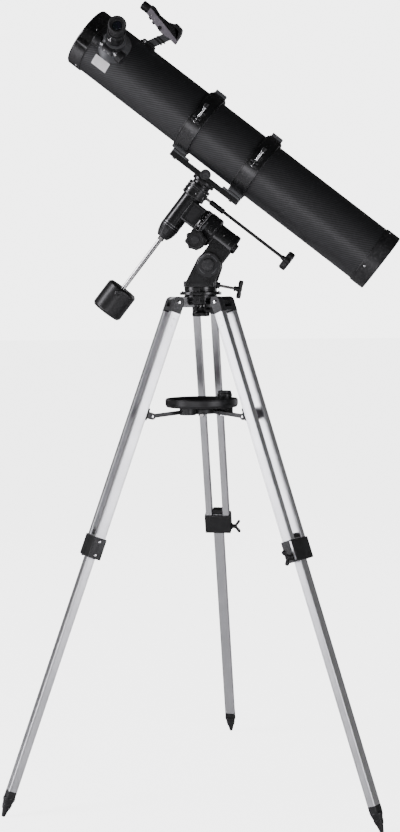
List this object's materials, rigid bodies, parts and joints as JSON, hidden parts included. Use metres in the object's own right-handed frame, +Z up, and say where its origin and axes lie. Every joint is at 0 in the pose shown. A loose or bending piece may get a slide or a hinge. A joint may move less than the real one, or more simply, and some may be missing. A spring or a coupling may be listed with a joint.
{
  "type": "telescope on tripod",
  "caption": "Newtonian reflector telescope on a German equatorial mount with counterweight, carried by a folding twin-rail aluminium tripod with accessory tray.",
  "frame": {"origin": "on the ground, under the middle of the whole object's bounding box", "axes": "+Z up; the tube points up towards -X in the XZ plane; the eyepiece points towards -Y; the declination axis rises towards +X"},
  "size_m": [0.9172, 0.7866, 1.8735],
  "materials": {
    "cast_black": "satin black enamel on aluminium die castings",
    "moulded_black": "fine-textured black moulding",
    "gloss_black": "gloss black moulding",
    "carbon_black": "rolled tube with a black carbon-weave film under a satin clear coat",
    "anodised": "satin natural anodised extrusion",
    "chrome": "bright plated",
    "steel": "turned steel",
    "brass": "turned brass",
    "rubber": "matt black rubber",
    "mirror": "aluminised glass",
    "iron": "satin black painted iron"
  },
  "bodies": {
    "tripod": {"tripod_hub": "cast_black"},
    "leg_1_upper": {"leg_1_shoulder": "moulded_black", "leg_1_rails": "anodised", "leg_1_knee_clamp": "moulded_black"},
    "leg_1_extension": {"leg_1_lower_tube": "anodised", "leg_1_foot": "rubber"},
    "leg_1_wing": {"leg_1_wing_screw": "moulded_black"},
    "spreader_arm_1": {"spreader_arm_1": "moulded_black"},
    "leg_2_upper": {"leg_2_shoulder": "moulded_black", "leg_2_rails": "anodised", "leg_2_knee_clamp": "moulded_black"},
    "leg_2_extension": {"leg_2_lower_tube": "anodised", "leg_2_foot": "rubber"},
    "leg_2_wing": {"leg_2_wing_screw": "moulded_black"},
    "spreader_arm_2": {"spreader_arm_2": "moulded_black"},
    "leg_3_upper": {"leg_3_shoulder": "moulded_black", "leg_3_rails": "anodised", "leg_3_knee_clamp": "moulded_black"},
    "leg_3_extension": {"leg_3_lower_tube": "anodised", "leg_3_foot": "rubber"},
    "leg_3_wing": {"leg_3_wing_screw": "moulded_black"},
    "spreader_arm_3": {"spreader_arm_3": "moulded_black"},
    "spreader": {"spreader_hub": "moulded_black", "accessory_tray": "moulded_black"},
    "spare_eyepiece": {"tray_eyepiece": "rubber"},
    "azimuth_knob": {"azimuth_lock_knob": "moulded_black"},
    "azimuth_base": {"mount_base": "cast_black", "latitude_pivot_bolt": "cast_black"},
    "latitude_screw": {"latitude_bolt": "moulded_black"},
    "polar_body": {"polar_housing": "cast_black"},
    "ra_wheel": {"ra_worm_wheel": "brass"},
    "ra_knob": {"ra_slow_motion_knob": "moulded_black"},
    "setting_circle": {"ra_setting_circle": "gloss_black"},
    "declination_body": {"polar_shaft": "steel", "declination_housing": "cast_black", "declination_end_cap": "moulded_black", "counterweight_shaft": "chrome"},
    "dec_wheel": {"dec_worm_wheel": "brass"},
    "dec_control": {"dec_slow_motion_control": "moulded_black"},
    "counterweight": {"counterweight": "iron"},
    "weight_lock": {"counterweight_lock_screw": "moulded_black"},
    "tube_body": {"declination_head": "cast_black", "mounting_bar": "cast_black", "front_clamp_lower_half": "cast_black", "rear_clamp_lower_half": "cast_black", "optical_tube": "carbon_black", "front_ring": "gloss_black", "rear_cell": "gloss_black", "primary_mirror": "mirror", "secondary_mirror": "mirror", "secondary_spider": "moulded_black", "focuser_base": "cast_black", "red_dot_finder": "moulded_black"},
    "front_clamp_top": {"front_clamp_upper_half": "cast_black"},
    "front_screw": {"front_clamp_screw": "chrome"},
    "rear_clamp_top": {"rear_clamp_upper_half": "cast_black"},
    "rear_screw": {"rear_clamp_screw": "chrome"},
    "drawtube": {"focuser_drawtube": "moulded_black", "eyepiece": "rubber"},
    "focus_axle": {"focus_knobs": "moulded_black"}
  },
  "joints": [
    {"name": "leg_1_fold", "type": "hinge", "parent": "tripod", "child": "leg_1_upper", "pos_m": [-0.06501, -0.13642, 1.17375], "axis": [0.4384, -0.8988, 0], "range_deg": [0, 8]},
    {"name": "leg_1_extend", "type": "slide", "parent": "leg_1_upper", "child": "leg_1_extension", "axis": [0.3118, 0.1521, 0.9379], "range_m": [0, 0.42]},
    {"name": "leg_1_wing_turn", "type": "hinge", "parent": "leg_1_upper", "child": "leg_1_wing", "pos_m": [-0.25585, -0.2295, 0.59976], "axis": [0.4384, -0.8988, 0], "continuous": true},
    {"name": "spreader_arm_1_fold", "type": "hinge", "parent": "leg_1_upper", "child": "spreader_arm_1", "pos_m": [-0.12038, -0.16343, 0.90839], "axis": [0.4384, -0.8988, 0], "range_deg": [0, 41]},
    {"name": "leg_2_fold", "type": "hinge", "parent": "tripod", "child": "leg_2_upper", "pos_m": [0.0473, -0.14428, 1.17375], "axis": [0.5592, 0.829, 0], "range_deg": [0, 8]},
    {"name": "leg_2_extend", "type": "slide", "parent": "leg_2_upper", "child": "leg_2_extension", "axis": [-0.2876, 0.194, 0.9379], "range_m": [0, 0.42]},
    {"name": "leg_2_wing_turn", "type": "hinge", "parent": "leg_2_upper", "child": "leg_2_wing", "pos_m": [0.22332, -0.26301, 0.59976], "axis": [0.5592, 0.829, 0], "continuous": true},
    {"name": "spreader_arm_2_fold", "type": "hinge", "parent": "leg_2_upper", "child": "spreader_arm_2", "pos_m": [0.09837, -0.17872, 0.90839], "axis": [0.5592, 0.829, 0], "range_deg": [0, 41]},
    {"name": "leg_3_fold", "type": "hinge", "parent": "tripod", "child": "leg_3_upper", "pos_m": [-0.00206, -0.04309, 1.17375], "axis": [-0.9976, 0.0698, 0], "range_deg": [0, 8]},
    {"name": "leg_3_extend", "type": "slide", "parent": "leg_3_upper", "child": "leg_3_extension", "axis": [-0.0242, -0.3461, 0.9379], "range_m": [0, 0.42]},
    {"name": "leg_3_wing_turn", "type": "hinge", "parent": "leg_3_upper", "child": "leg_3_wing", "pos_m": [0.01276, 0.16872, 0.59976], "axis": [-0.9976, 0.0698, 0], "continuous": true},
    {"name": "spreader_arm_3_fold", "type": "hinge", "parent": "leg_3_upper", "child": "spreader_arm_3", "pos_m": [0.00224, 0.01836, 0.90839], "axis": [-0.9976, 0.0698, 0], "range_deg": [0, 41]},
    {"name": "spreader_slide", "type": "slide", "parent": "tripod", "child": "spreader", "axis": [0, 0, 1], "range_m": [0, 0.062]},
    {"name": "spare_eyepiece_lift", "type": "slide", "parent": "spreader", "child": "spare_eyepiece", "axis": [0, 0, 1], "range_m": [0, 0.05]},
    {"name": "azimuth_knob_turn", "type": "hinge", "parent": "tripod", "child": "azimuth_knob", "pos_m": [-0.00659, -0.10793, 1.14475], "axis": [0, 0, 1], "continuous": true},
    {"name": "azimuth_turn", "type": "hinge", "parent": "tripod", "child": "azimuth_base", "pos_m": [-0.00659, -0.10793, 1.18975], "axis": [0, 0, 1], "continuous": true},
    {"name": "latitude_screw_turn", "type": "hinge", "parent": "azimuth_base", "child": "latitude_screw", "pos_m": [-0.00659, -0.10793, 1.22075], "axis": [0.9799, 0, -0.1994], "continuous": true},
    {"name": "latitude_tilt", "type": "hinge", "parent": "azimuth_base", "child": "polar_body", "pos_m": [0.01401, -0.10793, 1.25925], "axis": [0, 1, 0], "range_deg": [-15, 20]},
    {"name": "ra_knob_turn", "type": "hinge", "parent": "polar_body", "child": "ra_knob", "pos_m": [-0.01321, -0.10793, 1.31618], "axis": [0, 1, 0], "continuous": true},
    {"name": "ra_wheel_turn", "type": "hinge", "parent": "polar_body", "child": "ra_wheel", "pos_m": [0.01012, -0.10793, 1.34604], "axis": [-0.788, 0, 0.6157], "continuous": true},
    {"name": "ra_turn", "type": "hinge", "parent": "polar_body", "child": "declination_body", "pos_m": [-0.04662, -0.10793, 1.39037], "axis": [-0.788, 0, 0.6157], "range_deg": [-95, 95]},
    {"name": "setting_circle_turn", "type": "hinge", "parent": "declination_body", "child": "setting_circle", "pos_m": [-0.00328, -0.10793, 1.35651], "axis": [-0.788, 0, 0.6157], "continuous": true},
    {"name": "dec_control_turn", "type": "hinge", "parent": "declination_body", "child": "dec_control", "pos_m": [-0.01399, -0.08413, 1.43214], "axis": [-0.788, 0, 0.6157], "continuous": true},
    {"name": "dec_wheel_turn", "type": "hinge", "parent": "declination_body", "child": "dec_wheel", "pos_m": [-0.01399, -0.10793, 1.43214], "axis": [0.6157, 0, 0.788], "continuous": true},
    {"name": "counterweight_slide", "type": "slide", "parent": "declination_body", "child": "counterweight", "axis": [0.6157, 0, 0.788], "range_m": [0, 0.13]},
    {"name": "weight_lock_turn", "type": "hinge", "parent": "counterweight", "child": "weight_lock", "pos_m": [-0.19868, -0.14593, 1.19573], "axis": [0, 1, 0], "continuous": true},
    {"name": "dec_turn", "type": "hinge", "parent": "declination_body", "child": "tube_body", "pos_m": [-0.04662, -0.10793, 1.39037], "axis": [0.6157, 0, 0.788], "continuous": true},
    {"name": "front_clamp_open", "type": "hinge", "parent": "tube_body", "child": "front_clamp_top", "pos_m": [-0.0061, -0.02663, 1.58841], "axis": [-0.788, 0, 0.6157], "range_deg": [0, 100]},
    {"name": "front_screw_turn", "type": "hinge", "parent": "front_clamp_top", "child": "front_screw", "pos_m": [-0.0061, -0.19493, 1.58841], "axis": [0.6157, 0, 0.788], "continuous": true},
    {"name": "rear_clamp_open", "type": "hinge", "parent": "tube_body", "child": "rear_clamp_top", "pos_m": [0.12392, -0.02663, 1.48683], "axis": [-0.788, 0, 0.6157], "range_deg": [0, 100]},
    {"name": "rear_screw_turn", "type": "hinge", "parent": "rear_clamp_top", "child": "rear_screw", "pos_m": [0.12392, -0.19493, 1.48683], "axis": [0.6157, 0, 0.788], "continuous": true},
    {"name": "drawtube_slide", "type": "slide", "parent": "tube_body", "child": "drawtube", "axis": [0.1749, -0.9588, 0.2238], "range_m": [-0.03, 0.03]},
    {"name": "focus_turn", "type": "hinge", "parent": "tube_body", "child": "focus_axle", "pos_m": [-0.20274, -0.21091, 1.74767], "axis": [-0.788, 0, 0.6157], "range_deg": [-250, 250]}
  ],
  "couplings": [
    {"joint": "spreader_arm_1_fold", "follows": "leg_1_fold", "ratio": 5},
    {"joint": "leg_2_fold", "follows": "leg_1_fold", "ratio": 1},
    {"joint": "spreader_arm_2_fold", "follows": "leg_1_fold", "ratio": 5},
    {"joint": "leg_3_fold", "follows": "leg_1_fold", "ratio": 1},
    {"joint": "spreader_arm_3_fold", "follows": "leg_1_fold", "ratio": 5},
    {"joint": "spreader_slide", "follows": "leg_1_fold", "m_per_rad": 0.43},
    {"joint": "ra_wheel_turn", "follows": "ra_knob_turn", "ratio": 0.01},
    {"joint": "dec_wheel_turn", "follows": "dec_control_turn", "ratio": 0.015385},
    {"joint": "focus_turn", "follows": "drawtube_slide", "rad_per_m": -142.86}
  ]
}
